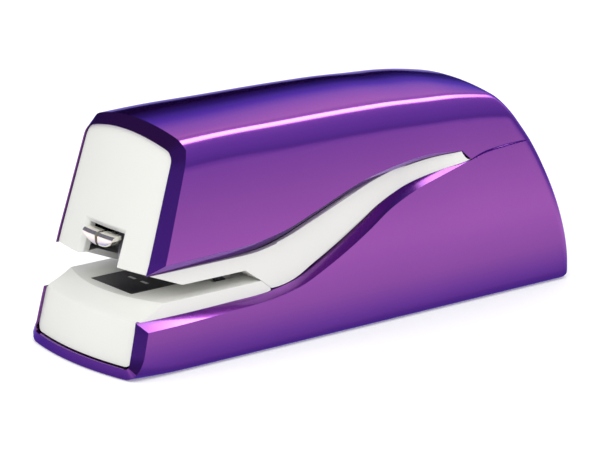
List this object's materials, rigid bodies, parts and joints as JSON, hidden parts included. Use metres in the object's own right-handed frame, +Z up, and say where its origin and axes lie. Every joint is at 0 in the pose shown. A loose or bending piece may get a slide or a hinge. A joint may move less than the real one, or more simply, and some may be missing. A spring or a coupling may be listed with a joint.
{
  "type": "electric stapler",
  "caption": "Battery desk stapler with a sloped purple housing, a white front and deck, a front-loading magazine behind a chrome nose and a crank drive inside.",
  "frame": {"origin": "middle of the footprint, on the surface the feet stand on", "axes": "+Z up, -Y towards the front where paper goes in, +X to the right seen from the front"},
  "size_m": [0.0586, 0.1879, 0.0766],
  "materials": {
    "purple_gloss": "glossy metallic purple lacquer over plastic",
    "white_plastic": "warm off-white moulded plastic, fine satin grain",
    "anvil_steel": "dark burnished steel",
    "black_plastic": "fine-grained black plastic",
    "foot_rubber": "soft black rubber",
    "cell_jacket": "shrink-wrapped cell jacket",
    "spring_steel": "bright spring wire",
    "brass_contact": "pressed brass",
    "sheet_steel": "zinc-plated pressed steel",
    "screw_steel": "blackened steel screws",
    "gear_plastic": "natural acetal",
    "nose_chrome": "polished chrome plate",
    "staple_wire": "zinc-coated staple wire, glued strip",
    "board_laminate": "green printed circuit laminate",
    "lead_red": "red wire insulation",
    "lead_black": "black wire insulation"
  },
  "bodies": {
    "root": {"lower_housing": "purple_gloss", "upper_housing": "purple_gloss", "mid_frame": "white_plastic", "front_cover": "white_plastic", "base_deck": "white_plastic", "anvil_plate": "anvil_steel", "bottom_cover": "black_plastic", "battery_tray": "black_plastic", "batteries": "cell_jacket", "battery_springs": "spring_steel", "battery_contacts": "brass_contact", "feet": "foot_rubber", "chassis": "sheet_steel", "chassis_spacers": "sheet_steel", "motor_bracket": "sheet_steel", "drive_motor": "sheet_steel", "motor_screws": "screw_steel", "gear_axles": "sheet_steel", "axle_clips": "spring_steel", "pivot_shaft": "sheet_steel", "pivot_bushes": "gear_plastic", "pivot_clips": "spring_steel", "return_spring": "spring_steel", "trigger_pin": "sheet_steel", "paper_switch": "black_plastic", "circuit_board": "board_laminate", "board_parts": "black_plastic", "motor_leads": "lead_red", "supply_leads": "lead_black", "supply_socket": "black_plastic", "housing_screws": "screw_steel", "frame_screws": "screw_steel", "chassis_screws": "screw_steel", "board_screws": "screw_steel"},
    "motor_rotor": {"motor_pinion": "brass_contact"},
    "first_gear": {"first_gear": "gear_plastic"},
    "second_gear": {"second_gear": "gear_plastic"},
    "crank_gear": {"crank_gear": "gear_plastic"},
    "drive_lever": {"drive_lever": "anvil_steel"},
    "driver": {"driver_blade": "anvil_steel"},
    "staple_arm": {"staple_arm": "sheet_steel"},
    "magazine": {"magazine": "sheet_steel", "staple_rail": "sheet_steel", "magazine_nose": "nose_chrome", "staple_strip": "staple_wire", "pusher_rod": "sheet_steel", "pusher_spring": "spring_steel"},
    "pusher": {"pusher": "black_plastic"},
    "paper_trigger": {"paper_trigger": "black_plastic"},
    "battery_door": {"battery_door": "black_plastic"}
  },
  "joints": [
    {"name": "crank_turn", "type": "hinge", "parent": "root", "child": "crank_gear", "pos_m": [0, -0.0078, 0.05384], "axis": [1, 0, 0], "range_deg": [0, 180]},
    {"name": "second_gear_turn", "type": "hinge", "parent": "root", "child": "second_gear", "pos_m": [0, 0.00264, 0.03893], "axis": [1, 0, 0], "range_deg": [-601, 0.5]},
    {"name": "first_gear_turn", "type": "hinge", "parent": "root", "child": "first_gear", "pos_m": [0, -0.00048, 0.02121], "axis": [1, 0, 0], "range_deg": [-0.5, 2401]},
    {"name": "motor_turn", "type": "hinge", "parent": "root", "child": "motor_rotor", "pos_m": [0, -0.014, 0.0147], "axis": [1, 0, 0], "range_deg": [-12001, 0.5]},
    {"name": "lever_swing", "type": "hinge", "parent": "root", "child": "drive_lever", "pos_m": [0, 0.056, 0.04], "axis": [1, 0, 0], "range_deg": [0, 6.86]},
    {"name": "arm_swing", "type": "hinge", "parent": "root", "child": "staple_arm", "pos_m": [0, 0.056, 0.04], "axis": [1, 0, 0], "range_deg": [0, 2.13], "deforming": ["return_spring"]},
    {"name": "driver_slide", "type": "slide", "parent": "staple_arm", "child": "driver", "axis": [0, 0, -1], "range_m": [0, 0.00971]},
    {"name": "magazine_slide", "type": "slide", "parent": "staple_arm", "child": "magazine", "axis": [0, 1, 0], "range_m": [-0.06, 0]},
    {"name": "pusher_slide", "type": "slide", "parent": "magazine", "child": "pusher", "axis": [0, 1, 0], "range_m": [0, 0.008], "deforming": ["pusher_spring"]},
    {"name": "paper_trigger_swing", "type": "hinge", "parent": "root", "child": "paper_trigger", "pos_m": [0.015, -0.04, 0.015], "axis": [-1, 0, 0], "range_deg": [0, 10]},
    {"name": "battery_door_slide", "type": "slide", "parent": "root", "child": "battery_door", "axis": [0, 1, 0], "range_m": [0, 0.005]}
  ],
  "couplings": [
    {"joint": "second_gear_turn", "follows": "crank_turn", "ratio": -3.3333},
    {"joint": "first_gear_turn", "follows": "crank_turn", "ratio": 13.333},
    {"joint": "motor_turn", "follows": "crank_turn", "ratio": -66.667},
    {"joint": "lever_swing", "follows": "crank_turn", "ratio": 0.038104},
    {"joint": "arm_swing", "follows": "crank_turn", "ratio": 0.011849},
    {"joint": "driver_slide", "follows": "crank_turn", "m_per_rad": 0.0030876}
  ]
}
